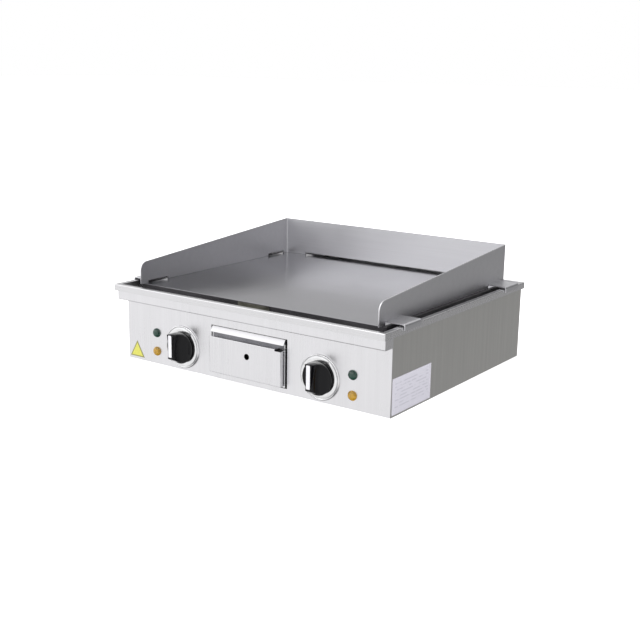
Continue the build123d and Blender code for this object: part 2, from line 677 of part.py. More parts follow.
BULB_R = 3.0
BULB_DX = 13.5              # bulb, outboard of the knob's axis
BULB_Y = (130.0, 215.0)
BULB_Z = FLOOR_Z - BULB_R - 0.1
CAPILLARY_R = 1.0


def sensor(side):
    """Bulb between two legs of the element, with its capillary down to the thermostat's top."""
    x = side * (KNOB_X + BULB_DX)
    z = BULB_Z
    bulb = rod_y(x, z, BULB_R, PANEL_Y + BULB_Y[0], PANEL_Y + BULB_Y[1])
    top = KNOB_Z + 19
    points = [(x, PANEL_Y + BULB_Y[0], z), (x, PANEL_Y + 22, z), (x, PANEL_Y + 22, top)]
    path = FilletPolyline(*points, radius=8.0)
    section = Plane(origin=points[0], z_dir=(0, -1, 0)) * Circle(CAPILLARY_R)
    return bulb + sweep(section, path=path)


# ---- electrics ----
LIMITER_X = -190.0


def safety_limiter():
    """Over-temperature cut-out on a small bracket at the back left."""
    y = BACK_Y - 60
    bracket = block(LIMITER_X - 20, LIMITER_X + 20, y - 8, y + 22, 2 * SHEET, 3 * SHEET)
    bracket += block(LIMITER_X - 20, LIMITER_X + 20, y - 8, y - 6.8, 2 * SHEET, 46)
    body = block(LIMITER_X - 16, LIMITER_X + 16, y - 6.8, y + 18, 10, 44)
    for i in (-1, 1):
        body += block(LIMITER_X + i * 8 - 3, LIMITER_X + i * 8 + 3, y + 18, y + 25, 30, 30.8)
    return bracket + body


def terminal_block():
    """Mains terminals near the cable gland."""
    y = BACK_Y - 66
    body = block(GLAND_X - 33, GLAND_X + 33, y, y + 24, 2 * SHEET, 24)
    for i in range(5):
        x = GLAND_X - 26 + i * 13
        body -= rod_z(x, y + 6, 3.0, 18, 30)
        body -= rod_z(x, y + 18, 3.0, 18, 30)
    return body


def terminal_screws():
    y = BACK_Y - 66
    xs = [GLAND_X - 26 + i * 13 for i in range(5)]
    return [rod_z(x, y + d, 2.8, 18, 22) for x in xs for d in (6, 18)]


def gland_body():
    """Cable gland: thread through the back wall, flange outside."""
    body = rod_y(GLAND_X, GLAND_Z, GLAND_THREAD_R, BACK_Y - 12, BACK_Y)
    collar = extrude(RegularPolygon(14.0, 6), 6.0)
    body += Pos(GLAND_X, BACK_Y + 6, GLAND_Z) * Rot(90, 0, 0) * collar
    return body - rod_y(GLAND_X, GLAND_Z, CABLE_R, BACK_Y - 20, BACK_Y + 20)


def gland_cap():
    """Clamping cap of the cable gland."""
    cap = rod_y(GLAND_X, GLAND_Z, 12.5, BACK_Y + 6, BACK_Y + GLAND_REACH)
    cap = chamfer(cap.faces().sort_by(Axis.Y)[-1].edges(), 2.5)
    for i in range(12):
        turn = Pos(GLAND_X, 0, GLAND_Z) * Rot(0, i * 30, 0)
        cap -= turn * block(12.0, 14, BACK_Y + 8, BACK_Y + 17, -1, 1)
    return cap - rod_y(GLAND_X, GLAND_Z, CABLE_R, BACK_Y, BACK_Y + 40)


def gland_nut():
    """Lock nut inside the back wall."""
    y1 = BACK_Y - SHEET
    body = extrude(RegularPolygon(14.5, 6), 5.0)
    nut = Pos(GLAND_X, y1, GLAND_Z) * Rot(90, 0, 0) * body
    return nut - rod_y(GLAND_X, GLAND_Z, GLAND_THREAD_R, y1 - 10, y1 + 5)


NUT_T = 4.5


def bonding_stud():
    """Equipotential bonding stud on the back wall, with a thicker shank under its nuts."""
    shank = rod_y(STUD_X, STUD_Z, STUD_SHANK_R, BACK_Y - 10, BACK_Y + NUT_T)
    return shank + rod_y(STUD_X, STUD_Z, STUD_R, BACK_Y + NUT_T, BACK_Y + STUD_REACH)


def bonding_nuts():
    """A nut on each side of the wall."""
    solids = []
    for y1 in (BACK_Y - SHEET, BACK_Y + NUT_T):
        body = extrude(RegularPolygon(5.8, 6), NUT_T)
        nut = Pos(STUD_X, y1, STUD_Z) * Rot(90, 0, 0) * body
        solids.append(nut - rod_y(STUD_X, STUD_Z, STUD_SHANK_R, y1 - 10, y1 + 5))
    return solids


LOOM_R = 3.0


def wiring_loom(side):
    """Bundle from a thermostat back along the base to the electrics at the rear."""
    x = side * KNOB_X
    end_x = GLAND_X if side > 0 else LIMITER_X
    end_y = BACK_Y - 66 if side > 0 else BACK_Y - 68
    points = [(x, PANEL_Y + 43.5, KNOB_Z - 14), (x, PANEL_Y + 75, KNOB_Z - 14)]
    points += [(x, PANEL_Y + 75, 10), (x, end_y - 60, 10), (end_x, end_y - 60, 10)]
    points += [(end_x, end_y - 0.1, 10)]
    path = FilletPolyline(*points, radius=12.0)
    section = Plane(origin=points[0], z_dir=(0, 1, 0)) * Circle(LOOM_R)
    return sweep(section, path=path)


# ---- labels ----
LABEL_T = 0.25
WARN_X = -249.5
WARN_Z = 5.0
WARN_SIDE = 33.0
RATING_Y = (3.0, 118.0)
RATING_Z = (3.0, 60.0)


def warning_label():
    """Blank triangular sticker at the panel's lower left."""
    half = WARN_SIDE / 2
    tip = WARN_Z + WARN_SIDE * math.sqrt(3) / 2
    points = [(WARN_X - half, WARN_Z), (WARN_X + half, WARN_Z), (WARN_X, tip)]
    face = make_face(Polyline(*points, close=True))
    return Pos(0, PANEL_Y, 0) * extrude(Rot(90, 0, 0) * face, LABEL_T)


def rating_label():
    """Blank rectangular sticker low on the right side."""
    y0 = PANEL_Y + RATING_Y[0]
    y1 = PANEL_Y + RATING_Y[1]
    return block(HALF_W, HALF_W + LABEL_T, y0, y1, RATING_Z[0], RATING_Z[1])


def main():
    os.makedirs("parts", exist_ok=True)
    save("casing", casing())
    save("back_panel", back_panel())
    save("base_plate", base_plate())
    save("base_screws", group(base_screws()))
    save("control_panel", control_panel())
    save("front_band", front_band())
    save("top_frame", top_frame())
    save("griddle_plate", griddle_plate())
    save("hold_down_studs", group(hold_down_studs()))
    save("hold_down_nuts", group(hold_down_nuts()))
    save("grease_gutter", grease_gutter())
    save("drain_chute", drain_chute())
    save("drain_lip", drain_lip())
    save("splash_guard", splash_guard())
    save("drawer_front", drawer_front())
    save("drawer_face", drawer_face())
    save("drawer_tray", drawer_tray())
    save("thermostat_screws", group(thermostat_screws()))
    save("lamp_holders", group(lamp_holders()))
    save("element_terminals", group(element_terminals()))
    save("clamp_studs", group(clamp_studs()))
    save("clamp_nuts", group(clamp_nuts()))
    save("heat_shield", heat_shield())
    save("insulation", insulation())
    save("safety_limiter", safety_limiter())
    save("terminal_block", terminal_block())
    save("terminal_screws", group(terminal_screws()))
    save("gland_body", gland_body())
    save("gland_cap", gland_cap())
    save("gland_nut", gland_nut())
    save("bonding_stud", bonding_stud())
    save("bonding_nuts", group(bonding_nuts()))
    save("warning_label", warning_label())
    save("rating_label", rating_label())
    for name, side in SIDES.items():
        x = side * KNOB_X
        save(f"support_angle_{name}", support_angle(side))
        save(f"drawer_rail_{name}", drawer_rail(side))
        save(f"bezel_{name}", bezel(x))
        save(f"knob_{name}", knob(x))
        save(f"pointer_{name}", pointer(x))
        save(f"shaft_{name}", shaft(x))
        save(f"thermostat_{name}", thermostat(x))
        for colour, dz in LAMP_DZ.items():
            save(f"lens_{colour}_{name}", lens(side * LAMP_X, KNOB_Z + dz))
        save(f"heating_element_{name}", heating_element(side))
        save(f"clamp_bars_{name}", group(clamp_bars(side)))
        save(f"sensor_{name}", sensor(side))
        save(f"wiring_loom_{name}", wiring_loom(side))


main()
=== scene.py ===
"""The looks of the table-top griddle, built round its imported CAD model."""
import json
import math

import bmesh
import bpy
from mathutils import Matrix, Vector


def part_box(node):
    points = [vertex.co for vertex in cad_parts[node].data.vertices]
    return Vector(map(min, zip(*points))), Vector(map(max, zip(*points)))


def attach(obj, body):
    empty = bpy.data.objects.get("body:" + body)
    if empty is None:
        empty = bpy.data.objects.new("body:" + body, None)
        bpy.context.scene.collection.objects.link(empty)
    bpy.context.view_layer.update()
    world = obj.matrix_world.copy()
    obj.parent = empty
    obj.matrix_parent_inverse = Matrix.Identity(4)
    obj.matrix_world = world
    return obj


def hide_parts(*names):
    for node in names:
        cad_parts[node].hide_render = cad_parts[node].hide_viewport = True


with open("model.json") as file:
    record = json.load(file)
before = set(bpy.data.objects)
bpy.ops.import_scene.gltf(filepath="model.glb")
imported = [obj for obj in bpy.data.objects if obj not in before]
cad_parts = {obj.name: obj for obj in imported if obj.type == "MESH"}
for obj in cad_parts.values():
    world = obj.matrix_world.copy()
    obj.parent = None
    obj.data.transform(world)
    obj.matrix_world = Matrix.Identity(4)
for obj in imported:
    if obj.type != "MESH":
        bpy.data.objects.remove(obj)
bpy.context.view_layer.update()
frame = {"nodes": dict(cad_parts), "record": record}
nodes = frame["nodes"]
record = frame["record"]
scene = bpy.context.scene
MM = 0.001
SIDES = ("left", "right")

# ---- camera and light ----
AIM = Vector((0.0032, -0.02123, 0.072))
DISTANCE = 1.85177
AZIMUTH, ELEVATION, ROLL = 35.07, 13.85, 0.93
LENS = 59.40


def back_direction(azimuth, elevation):
    """From the object towards a camera or lamp."""
    a = math.radians(azimuth)
    e = math.radians(elevation)
    return Vector((math.sin(a) * math.cos(e), -math.cos(a) * math.cos(e), math.sin(e)))


def camera():
    """The photo's viewpoint."""
    back = back_direction(AZIMUTH, ELEVATION)
    a = math.radians(AZIMUTH)
    right = Vector((math.cos(a), math.sin(a), 0))
    up = back.cross(right)
    c = math.cos(math.radians(ROLL))
    s = math.sin(math.radians(ROLL))
    data = bpy.data.cameras.new("camera")
    data.lens = LENS
    data.sensor_width = 36
    data.clip_start = 0.01
    data.clip_end = 100
    cam = bpy.data.objects.new("camera", data)
    rotation = Matrix((c * right + s * up, c * up - s * right, back)).transposed()
    cam.matrix_world = Matrix.Translation(AIM + back * DISTANCE) @ rotation.to_4x4()
    scene.collection.objects.link(cam)
    scene.camera = cam


class Tree:
    """A node tree, with a short way to add and join nodes."""

    def __init__(self, tree):
        self.tree = tree

    def node(self, kind, inputs=None, **settings):
        made = self.tree.nodes.new(kind)
        for key, value in settings.items():
            setattr(made, key, value)
        for key, value in (inputs or {}).items():
            if isinstance(value, bpy.types.NodeSocket):
                self.tree.links.new(value, made.inputs[key])
            else:
                made.inputs[key].default_value = value
        return made.outputs[0]

    def math(self, operation, a, b=0.0):
        return self.node("ShaderNodeMath", {0: a, 1: b}, operation=operation)

    def fit(self, value, low, high, to_low=0.0, to_high=1.0):
        """A value's range mapped to another and held at its ends."""
        ends = {0: value, 1: low, 2: high, 3: to_low, 4: to_high}
        return self.node("ShaderNodeMapRange", ends)

    def mix(self, factor, a, b):
        """From a to b, each a number, by a factor."""
        return self.node("ShaderNodeMix", {0: factor, 2: a, 3: b})

    def dot(self, vector, direction):
        made = self.tree.nodes.new("ShaderNodeVectorMath")
        made.operation = "DOT_PRODUCT"
        self.tree.links.new(vector, made.inputs[0])
        made.inputs[1].default_value = direction
        return made.outputs["Value"]


# How bright each part of the surroundings is, as polished faces mirror it.
FRONT_LEVEL = 1.06
FRONT_HIGH_LEFT = 1.85
FRONT_HIGH_RIGHT = 0.85
REAR_LEFT = 0.62
REAR_RIGHT = 0.36
REAR_RIGHT_HIGH = 0.08
OVERHEAD = 1.2
BELOW = 0.22


def studio():
    """White surroundings; what polished faces mirror is brighter in front and darker behind."""
    world = bpy.data.worlds.new("studio")
    scene.world = world
    world.use_nodes = True
    t = Tree(world.node_tree)
    coords = world.node_tree.nodes.new("ShaderNodeTexCoord").outputs["Generated"]
    across = t.dot(coords, (1, 0, 0))
    deep = t.dot(coords, (0, 1, 0))
    height = t.dot(coords, (0, 0, 1))
    low_right = t.fit(height, -0.2, 0.2, REAR_RIGHT, REAR_RIGHT_HIGH)
    rear = t.mix(t.fit(across, -0.5, 0.5), REAR_LEFT, low_right)
    front_high = t.mix(t.fit(across, -0.45, 0.45), FRONT_HIGH_LEFT, FRONT_HIGH_RIGHT)
    front = t.mix(t.fit(height, -0.12, 0.26), FRONT_LEVEL, front_high)
    level = t.mix(t.fit(deep, -0.45, 0.45), front, rear)
    level = t.mix(t.fit(height, 0.35, 0.75), level, OVERHEAD)
    level = t.mix(t.fit(height, -0.45, -0.75), level, BELOW)
    path = world.node_tree.nodes.new("ShaderNodeLightPath")
    strength = t.mix(path.outputs["Is Glossy Ray"], 1.0, level)
    background = world.node_tree.nodes["Background"]
    background.inputs["Color"].default_value = (1, 1, 1, 1)
    world.node_tree.links.new(strength, background.inputs["Strength"])


def softbox(name, azimuth, elevation, distance, size, power):
    """A rectangular lamp that faces the camera's aim."""
    data = bpy.data.lights.new(name, "AREA")
    data.shape = "RECTANGLE"
    data.size, data.size_y = size
    data.energy = power
    lamp = bpy.data.objects.new(name, data)
    back = back_direction(azimuth, elevation)
    turn = back.to_track_quat("Z", "Y").to_matrix().to_4x4()
    lamp.matrix_world = Matrix.Translation(AIM + back * distance) @ turn
    scene.collection.objects.link(lamp)


# ---- materials ----
class Surface(Tree):
    """A Principled material whose plain values sit on its own sockets."""

    def __init__(self, name, colour, metallic=0.0, rough=0.5, **sockets):
        self.material = bpy.data.materials.new(name)
        self.material.use_nodes = True
        super().__init__(self.material.node_tree)
        self.shader = self.tree.nodes["Principled BSDF"]
        self.colour = colour
        self.shader.inputs["Base Color"].default_value = (*colour, 1)
        self.shader.inputs["Metallic"].default_value = metallic
        self.shader.inputs["Roughness"].default_value = rough
        for key, value in sockets.items():
            self.shader.inputs[key.replace("_", " ")].default_value = value
        self.place = self.tree.nodes.new("ShaderNodeTexCoord").outputs["Object"]

    def noise(self, scale, detail=4.0, rough=0.55):
        """Noise from 0 to 1, its scale along x, y and z in features for each metre."""
        at = self.node("ShaderNodeMapping", {"Vector": self.place, "Scale": scale})
        settings = {"Vector": at, "Scale": 1.0, "Detail": detail, "Roughness": rough}
        return self.node("ShaderNodeTexNoise", settings)

    def ramp(self, value, stops):
        """Colours along a value; the stops are (value, colour)."""
        made = self.tree.nodes.new("ShaderNodeValToRGB")
        self.tree.links.new(value, made.inputs[0])
        elements = made.color_ramp.elements
        while len(elements) < len(stops):
            elements.new(0.5)
        for element, (at, colour) in zip(elements, stops):
            element.position = at
            element.color = (*colour, 1)
        return made.outputs[0]

    def shades(self, value, low, high, dark, light):
        """The surface's own colour, from dark to light times itself."""
        lower = [dark * c for c in self.colour]
        upper = [light * c for c in self.colour]
        return self.ramp(value, [(low, lower), (high, upper)])

    def blend(self, factor, a, b):
        """From colour a to colour b by a factor."""
        made = self.tree.nodes.new("ShaderNodeMix")
        made.data_type = "RGBA"
        self.tree.links.new(factor, made.inputs[0])
        for index, value in ((6, a), (7, b)):
            if isinstance(value, bpy.types.NodeSocket):
                self.tree.links.new(value, made.inputs[index])
            else:
                made.inputs[index].default_value = (*value, 1)
        return made.outputs[2]

    def join(self, **links):
        for key, value in links.items():
            self.tree.links.new(value, self.shader.inputs[key.replace("_", " ")])
        return self.material

    def bump(self, height, strength, depth):
        settings = {"Strength": strength, "Distance": depth, "Height": height}
        return self.node("ShaderNodeBump", settings)


LINE = 1100.0               # across the brush lines, in features for each metre
LONG = 9.0                  # along them


def brushed(name, colour, rough, along, contrast=0.05, smear=0.06, bump=0.03):
    """Stainless sheet brushed along one axis, with faint smears and streaks."""
    s = Surface(name, colour, metallic=1.0, rough=rough)
    fine = s.noise([LONG if axis == along else LINE for axis in "xyz"], 3.0)
    coarse = s.noise([LONG / 3 if axis == along else LINE / 9 for axis in "xyz"], 3.0)
    patch = s.noise((14, 14, 14), 3.0)
    lines = s.math("ADD", s.math("MULTIPLY", fine, 0.5), s.math("MULTIPLY", coarse, 0.5))
    mixed = s.math("ADD", s.math("MULTIPLY", lines, 0.75), s.math("MULTIPLY", patch, 0.25))
    shade = s.shades(mixed, 0.36, 0.64, 1 - contrast, 1 + contrast / 2)
    gloss = s.math("ADD", s.fit(patch, 0.3, 0.7, rough - smear / 2, rough + smear / 2),
                   s.fit(fine, 0.3, 0.7, -0.03, 0.03))
    return s.join(Base_Color=shade, Roughness=gloss, Normal=s.bump(fine, bump, 0.03 * MM))


HOOK_TO_WALL = 34.5 * MM    # the guard's outermost edge to where the polished area starts


def ground_plate():
    """The cooking surface: ground and polished inside the guard; elsewhere near-black, mill scale taken
    dark enough to stand as painted shade under the guard's hooks and on the plate's sides.
    """
    s = Surface("griddle_steel", (0.385, 0.383, 0.405), metallic=1.0, rough=0.2)
    low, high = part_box("splash_guard")
    inner = min(-low.x, high.x) - HOOK_TO_WALL
    fine = s.noise((LONG, LINE, LINE), 3.0)
    patch = s.noise((9, 9, 9), 4.0)
    haze = s.noise((3.5, 6, 6), 2.0)
    mixed = s.math("ADD", s.math("MULTIPLY", fine, 0.35), s.math("MULTIPLY", haze, 0.65))
    top = s.shades(mixed, 0.38, 0.62, 0.95, 1.05)
    normal = s.tree.nodes.new("ShaderNodeNewGeometry").outputs["Normal"]
    ground = s.fit(s.dot(normal, (0, 0, 1)), 0.55, 0.9)
    sideways = s.math("ABSOLUTE", s.dot(s.place, (1, 0, 0)))
    ground = s.math("MULTIPLY", ground, s.fit(sideways, inner + 1 * MM, inner))
    # painted shade: this near-black also stands for the shadow under the guard's hooks and on the
    # plate's sides, beyond the mill scale's own colour
    scale = s.ramp(patch, [(0.35, (0.055, 0.053, 0.056)), (0.65, (0.095, 0.092, 0.098))])
    gloss = s.math("ADD", s.fit(patch, 0.3, 0.7, 0.16, 0.22),
                   s.math("MULTIPLY", s.math("SUBTRACT", 1.0, ground), 0.35))
    return s.join(Base_Color=s.blend(ground, scale, top), Roughness=gloss,
                  Normal=s.bump(fine, 0.03, 0.05 * MM))


def drawer_front_steel():
    """The drawer's sheet, with painted shade on its upright faces in the recess behind its finger gap.
    """
    s = Surface("drawer_front_steel", (0.73, 0.725, 0.745), metallic=1.0, rough=0.28)
    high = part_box("drawer_face")[1]
    fine = s.noise((LINE, LINE, LONG), 3.0)
    patch = s.noise((40, 40, 40), 3.0)
    shade = s.shades(fine, 0.36, 0.64, 0.96, 1.02)
    # painted shade: dark grey standing for the hood's shadow on the sheet behind the finger gap
    painted_shade = s.ramp(patch, [(0.3, (0.20, 0.20, 0.215)), (0.7, (0.27, 0.27, 0.285))])
    normal = s.tree.nodes.new("ShaderNodeNewGeometry").outputs["Normal"]
    upright = s.fit(s.math("ABSOLUTE", s.dot(normal, (0, 1, 0))), 0.93, 0.98)
    height = s.dot(s.place, (0, 0, 1))
    above = s.fit(height, high.z - 1.5 * MM, high.z - 0.5 * MM)
    inside = s.fit(s.math("ABSOLUTE", s.dot(s.place, (1, 0, 0))), high.x, high.x - 1.5 * MM)
    # where the painted shade goes: upright faces just above the face box and within its width
    recess = s.math("MULTIPLY", s.math("MULTIPLY", upright, above), inside)
    return s.join(Base_Color=s.blend(recess, shade, painted_shade), Roughness=s.mix(recess, 0.28, 0.5),
                  Normal=s.bump(fine, 0.03, 0.05 * MM))


def lip_steel():
    """The drain's lip, a dark olive grey."""
    s = Surface("lip_steel", (0.20, 0.195, 0.165), metallic=1.0, rough=0.38)
    patch = s.noise((60, 60, 60), 4.0)
    return s.join(Base_Color=s.shades(patch, 0.3, 0.7, 0.7, 1.2),
                  Roughness=s.fit(patch, 0.3, 0.7, 0.3, 0.5))


def moulded(name, colour, rough, grain=900.0, bump=0.05, spread=0.12, **sockets):
    """Moulded plastic with a fine grain and slightly uneven gloss."""
    s = Surface(name, colour, rough=rough, **sockets)
    fine = s.noise((grain, grain, grain), 2.0)
    patch = s.noise((45, 45, 45), 3.0)
    shade = s.shades(patch, 0.35, 0.65, 1 - spread / 2, 1 + spread / 2)
    gloss = s.fit(patch, 0.3, 0.7, rough * 0.85, rough * 1.15)
    return s.join(Base_Color=shade, Roughness=gloss, Normal=s.bump(fine, bump, 0.05 * MM))


def turned_metal(name, colour, rough, grain=700.0, spread=0.10):
    """Plated or turned metal with a fine all-over texture."""
    s = Surface(name, colour, metallic=1.0, rough=rough)
    fine = s.noise((grain, grain, grain), 3.0)
    patch = s.noise((60, 60, 60), 3.0)
    shade = s.shades(patch, 0.35, 0.65, 1 - spread, 1 + spread / 3)
    gloss = s.fit(patch, 0.3, 0.7, rough * 0.8, rough * 1.25)
    return s.join(Base_Color=shade, Roughness=gloss, Normal=s.bump(fine, 0.04, 0.05 * MM))


def zinc():
    """Spangled zinc coating."""
    s = Surface("zinc_steel", (0.60, 0.62, 0.64), metallic=1.0, rough=0.4)
    cells = s.tree.nodes.new("ShaderNodeTexVoronoi")
    cells.inputs["Scale"].default_value = 140.0
    s.tree.links.new(s.place, cells.inputs["Vector"])
    tone = s.dot(cells.outputs["Color"], (0.33, 0.33, 0.33))
    shade = s.shades(tone, 0.1, 0.9, 0.82, 1.06)
    return s.join(Base_Color=shade, Roughness=s.fit(tone, 0.1, 0.9, 0.32, 0.48))


def fibres(name, colour, scale, bump):
    """Matted or woven fibre."""
    s = Surface(name, colour, rough=0.95)
    loose = s.noise((scale, scale, scale), 6.0, 0.7)
    threads = s.noise((scale * 4, scale * 0.6, scale * 4), 3.0)
    mixed = s.math("ADD", s.math("MULTIPLY", loose, 0.5), s.math("MULTIPLY", threads, 0.5))
    shade = s.shades(mixed, 0.35, 0.65, 0.7, 1.1)
    gloss = s.fit(loose, 0.3, 0.7, 0.85, 1.0)
    return s.join(Base_Color=shade, Roughness=gloss, Normal=s.bump(mixed, bump, 0.4 * MM))


LABEL_BORDER = 2.0 * MM


def warning_sticker():
    """Blank yellow triangle with a dark border, worked out from its three edges."""
    low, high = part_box("warning_label")
    s = Surface("label_yellow", (0.62, 0.60, 0.10), rough=0.35)
    middle = (low.x + high.x) / 2
    depth = s.dot(s.place, (0, 0, 1))
    nearest = s.math("SUBTRACT", depth, low.z)
    for side in (-1, 1):
        lean = math.cos(math.radians(30))
        across = s.dot(s.place, (-side * lean, 0, -0.5))
        edge = -side * lean * (middle + side * (high.x - low.x) / 2) - 0.5 * low.z
        nearest = s.math("MINIMUM", nearest, s.math("SUBTRACT", across, edge))
    inside = s.fit(nearest, LABEL_BORDER * 0.85, LABEL_BORDER * 1.15)
    wear = s.noise((300, 300, 300), 3.0)
    yellow = s.shades(wear, 0.35, 0.65, 0.92, 1.05)
    gloss = s.fit(wear, 0.3, 0.7, 0.3, 0.42)
    return s.join(Base_Color=s.blend(inside, (0.25, 0.24, 0.07), yellow), Roughness=gloss)


ROW_PITCH = 5.2 * MM
ROW_SHARE = 0.34


def rating_sticker():
    """Pale sticker with rows of faint grey bars in place of print."""
    low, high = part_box("rating_label")
    s = Surface("label_grey", (0.52, 0.51, 0.57), rough=0.4)
    depth = s.math("SUBTRACT", s.dot(s.place, (0, 0, 1)), low.z)
    along = s.math("SUBTRACT", s.dot(s.place, (0, 1, 0)), low.y)
    row = s.math("FRACT", s.math("DIVIDE", depth, ROW_PITCH))
    bars = s.math("LESS_THAN", row, ROW_SHARE)
    breaks = s.noise((0, 90, 1 / ROW_PITCH), 1.0)
    bars = s.math("MULTIPLY", bars, s.math("GREATER_THAN", breaks, 0.47))
    margin = 8 * MM
    for value, span in ((depth, high.z - low.z), (along, high.y - low.y)):
        bars = s.math("MULTIPLY", bars, s.math("GREATER_THAN", value, margin))
        bars = s.math("MULTIPLY", bars, s.math("LESS_THAN", value, span - margin))
    paper = s.noise((400, 400, 400), 2.0)
    pale = s.shades(paper, 0.35, 0.65, 0.96, 1.03)
    mixed = s.blend(s.math("MULTIPLY", bars, 0.4), pale, (0.25, 0.25, 0.30))
    return s.join(Base_Color=mixed, Roughness=s.fit(paper, 0.3, 0.7, 0.35, 0.5))


def lens_glass(name, colour):
    """Coloured lamp lens: clear enough to gather light, with fine mould lines."""
    s = Surface(name, colour, rough=0.12, Transmission_Weight=0.25, IOR=1.5, Coat_Weight=0.4)
    patch = s.noise((220, 220, 220), 2.0)
    shade = s.shades(patch, 0.35, 0.65, 0.8, 1.2)
    gloss = s.fit(patch, 0.3, 0.7, 0.08, 0.18)
    return s.join(Base_Color=shade, Roughness=gloss, Normal=s.bump(patch, 0.1, 0.1 * MM))


def all_materials():
    """Every material by its slot's name."""
    return {
        "casing_steel": brushed("casing_steel", (0.66, 0.655, 0.635), 0.34, "z", 0.09),
        "panel_steel": brushed("panel_steel", (0.745, 0.74, 0.76), 0.30, "z"),
        "frame_steel": brushed("frame_steel", (0.70, 0.695, 0.71), 0.28, "x"),
        "griddle_steel": ground_plate(),
        "guard_steel": brushed("guard_steel", (0.64, 0.638, 0.66), 0.38, "x", bump=0.01),
        "drawer_steel": brushed("drawer_steel", (0.73, 0.725, 0.745), 0.28, "z"),
        "drawer_front_steel": drawer_front_steel(),
        "lip_steel": lip_steel(),
        "zinc_steel": zinc(),
        "mineral_wool": fibres("mineral_wool", (0.62, 0.54, 0.36), 500, 0.8),
        "cable_sleeve": fibres("cable_sleeve", (0.56, 0.55, 0.50), 900, 0.5),
        "dark_plastic": moulded("dark_plastic", (0.03, 0.03, 0.03), 0.5),
        "pale_plastic": moulded("pale_plastic", (0.62, 0.59, 0.50), 0.5),
        "gland_plastic": moulded("gland_plastic", (0.035, 0.035, 0.038), 0.45),
        "knob_black": moulded("knob_black", (0.002, 0.002, 0.003), 0.12, 1500.0, 0.02, IOR=1.3),
        "pointer_white": moulded("pointer_white", (0.72, 0.715, 0.75), 0.3, spread=0.05),
        "lens_green": lens_glass("lens_green", (0.004, 0.045, 0.030)),
        "lens_amber": lens_glass("lens_amber", (0.52, 0.29, 0.014)),
        "label_yellow": warning_sticker(),
        "label_grey": rating_sticker(),
        "brass": turned_metal("brass", (0.62, 0.44, 0.16), 0.3),
        "fastener_steel": turned_metal("fastener_steel", (0.58, 0.58, 0.60), 0.3),
        "chrome_ring": turned_metal("chrome_ring", (0.80, 0.80, 0.81), 0.12),
        "element_alloy": turned_metal("element_alloy", (0.14, 0.13, 0.12), 0.5),
        "copper_tube": turned_metal("copper_tube", (0.60, 0.30, 0.18), 0.3),
    }


# ---- pieces ----
def piece(name, mesh, slot, body, *replaced, sharp=32):
    """A new piece that rides on a body in place of CAD nodes."""
    obj = bpy.data.objects.new(name, mesh)
    scene.collection.objects.link(obj)
    mesh.materials.clear()
    mesh.materials.append(materials[slot])
    for face in mesh.polygons:
        face.use_smooth = True
    mesh.set_sharp_from_angle(angle=math.radians(sharp))
    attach(obj, body)
    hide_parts(*replaced)
    return obj


def turned(profile, segments):
    """A closed mesh turned about the depth axis from (radius, depth) points."""
    points = []
    rings = []
    for radius, depth in profile:
        if radius == 0:
            rings.append([len(points)] * segments)
            points.append((0, 0, depth))
            continue
        rings.append(range(len(points), len(points) + segments))
        for i in range(segments):
            a = 2 * math.pi * i / segments
            points.append((radius * math.cos(a), radius * math.sin(a), depth))
    faces = []
    for near, far in zip(rings, rings[1:]):
        for i in range(segments):
            j = (i + 1) % segments
            corners = [near[i], near[j], far[j], far[i]]
            faces.append(list(dict.fromkeys(corners)))
    return points, [f for f in faces if len(f) > 2]


def solid(points, faces, place=None):
    """A mesh from points in millimetres, in a control's own frame where a place is given."""
    if place is not None:
        points = [place(*p) for p in points]
    mesh = bpy.data.meshes.new("solid")
    mesh.from_pydata([tuple(c * MM for c in p) for p in points], [], faces)
    mesh.validate()
    return mesh


def facing_panel(node):
    """Maps (across, up, out of the panel) about a round node's axis to the object's frame."""
    low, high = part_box(node)
    x = (low.x + high.x) / 2 / MM
    z = (low.z + high.z) / 2 / MM
    y = panel_y / MM
    return lambda across, up, out: (x + across, y - out, z + up)


def changed(mesh, *modifiers):
    """The mesh after some modifiers, each a (kind, settings) pair."""
    obj = bpy.data.objects.new("working", mesh)
    scene.collection.objects.link(obj)
    for kind, settings in modifiers:
        modifier = obj.modifiers.new(kind, kind)
        for key, value in settings.items():
            setattr(modifier, key, value)
    shown = obj.evaluated_get(bpy.context.evaluated_depsgraph_get())
    made = bpy.data.meshes.new_from_object(shown)
    bpy.data.objects.remove(obj)
    return made


def cut(mesh, tools):
    """The mesh less some closed meshes."""
    for tool in tools:
        other = bpy.data.objects.new("tool", tool)
        scene.collection.objects.link(other)
        mesh = changed(mesh, ("BOOLEAN", {"operation": "DIFFERENCE", "object": other}))
        bpy.data.objects.remove(other)
    return mesh


# Knob, in millimetres; depths are in front of the control panel.
KNOB_R = 27.6
KNOB_BASE_R = 25.0
KNOB_FRONT = 31.9
KNOB_SKIRT = 9.5
KNOB_BACK = 1.5
GRIP_HALF = 4.4
GRIP_WAIST = 2.6            # how much the grip widens from its middle to its ends
SCOOP_W = 17.5
SCOOP_REACH = 34            # half the scoop's length, along the grip
SCOOP_STEPS = 24
ARC_STEPS = 28
RIDGE = 1.8                 # height of the soft ridge in the scoop
RIDGE_AT = 8.5              # from the grip
RIDGE_SPREAD = 1.9
CLEAR = 40.0                # outside the knob on every side


